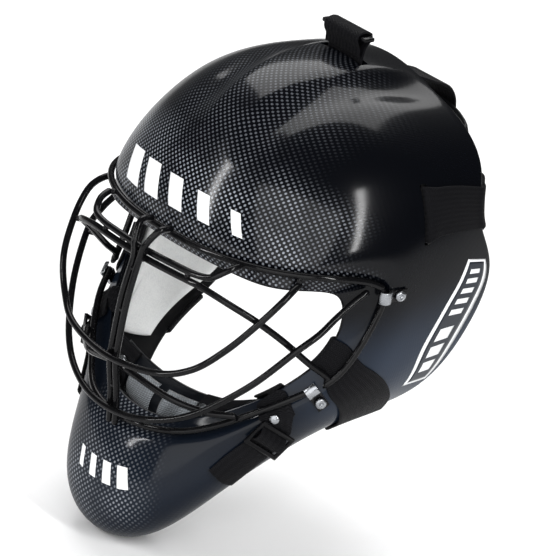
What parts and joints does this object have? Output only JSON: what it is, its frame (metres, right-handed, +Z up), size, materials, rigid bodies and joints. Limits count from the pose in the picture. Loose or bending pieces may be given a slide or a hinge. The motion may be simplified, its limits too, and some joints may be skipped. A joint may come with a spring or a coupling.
{
  "type": "field hockey goalkeeper mask",
  "caption": "Glossy black carbon-weave goalkeeper mask with a wire cage over the face opening, foam liner, chin cup, back plate and elastic straps.",
  "frame": {"origin": "middle of the wearer's head, midway between the ears, with the mask worn and level", "axes": "+X towards the wearer's left, +Y towards the back of the head, +Z up; the cage faces -Y"},
  "size_m": [0.2326, 0.2534, 0.3186],
  "materials": {
    "carbon_shell": "glossy clear-coated black carbon weave",
    "black_wire": "gloss black coated wire",
    "steel_fasteners": "bright steel",
    "liner_foam": "matt closed-cell foam",
    "lining_fabric": "brushed lining cloth over foam",
    "black_hardware": "moulded black",
    "elastic": "ribbed elastic",
    "webbing": "woven webbing",
    "plate_plastic": "moulded satin black",
    "cup_plastic": "moulded satin black"
  },
  "bodies": {
    "shell_assembly": {"cage_brow_loop": "black_wire", "cage_brow_wire": "black_wire", "cage_centre_wire_left": "black_wire", "cage_centre_wire_right": "black_wire", "cage_chin_bar": "black_wire", "cage_cross_wire": "black_wire", "cage_jaw_wire": "black_wire", "cage_lower_bar": "black_wire", "cage_upper_bar": "black_wire", "cheek_pad_left": "liner_foam", "cheek_pad_right": "liner_foam", "chin_buckle_left": "black_hardware", "chin_buckle_right": "black_hardware", "chin_front_strap_left": "webbing", "chin_front_strap_right": "webbing", "chin_liner": "liner_foam", "crown_pad": "liner_foam", "crown_strap": "webbing", "ear_pad_left": "liner_foam", "ear_pad_right": "liner_foam", "forehead_pad": "liner_foam", "jaw_rivet_left": "steel_fasteners", "jaw_rivet_right": "steel_fasteners", "jaw_wrap_left": "webbing", "jaw_wrap_right": "webbing", "lower_clip_left": "steel_fasteners", "lower_clip_right": "steel_fasteners", "lower_nut_left": "steel_fasteners", "lower_nut_right": "steel_fasteners", "lower_screw_left": "steel_fasteners", "lower_screw_right": "steel_fasteners", "shell": "carbon_shell", "side_strap_keeper_left": "black_hardware", "side_strap_keeper_right": "black_hardware", "side_strap_left": "elastic", "side_strap_right": "elastic", "temple_pad_left": "liner_foam", "temple_pad_right": "liner_foam", "upper_clip_left": "steel_fasteners", "upper_clip_right": "steel_fasteners", "upper_nut_left": "steel_fasteners", "upper_nut_right": "steel_fasteners", "upper_screw_left": "steel_fasteners", "upper_screw_right": "steel_fasteners"},
    "back_plate_assembly": {"back_plate": "plate_plastic", "back_plate_pad": "liner_foam", "crown_strap_rivet": "steel_fasteners", "side_strap_rivet_left": "steel_fasteners", "side_strap_rivet_right": "steel_fasteners"},
    "chin_cup_assembly": {"chin_cup": "cup_plastic", "chin_cup_pad": "lining_fabric", "cup_front_rivet_left": "steel_fasteners", "cup_front_rivet_right": "steel_fasteners"},
    "crown_slider_bar": {"crown_slider": "black_hardware"}
  },
  "joints": [
    {"name": "back_plate_swing", "type": "hinge", "parent": "shell_assembly", "child": "back_plate_assembly", "pos_m": [0, 0.026, 0.108], "axis": [1, 0, 0], "range_deg": [0, 20], "stiffness_Nm_per_rad": 0.8, "deforming": ["crown_strap", "side_strap_left", "side_strap_right"]},
    {"name": "chin_cup_swing", "type": "hinge", "parent": "shell_assembly", "child": "chin_cup_assembly", "pos_m": [0, -0.098, -0.068], "axis": [1, 0, 0], "range_deg": [-5, 12], "deforming": ["chin_front_strap_left", "chin_front_strap_right"]},
    {"name": "crown_slider_shift", "type": "slide", "parent": "shell_assembly", "child": "crown_slider_bar", "axis": [1, 0, 0], "range_m": [-0.003, 0.003]}
  ]
}
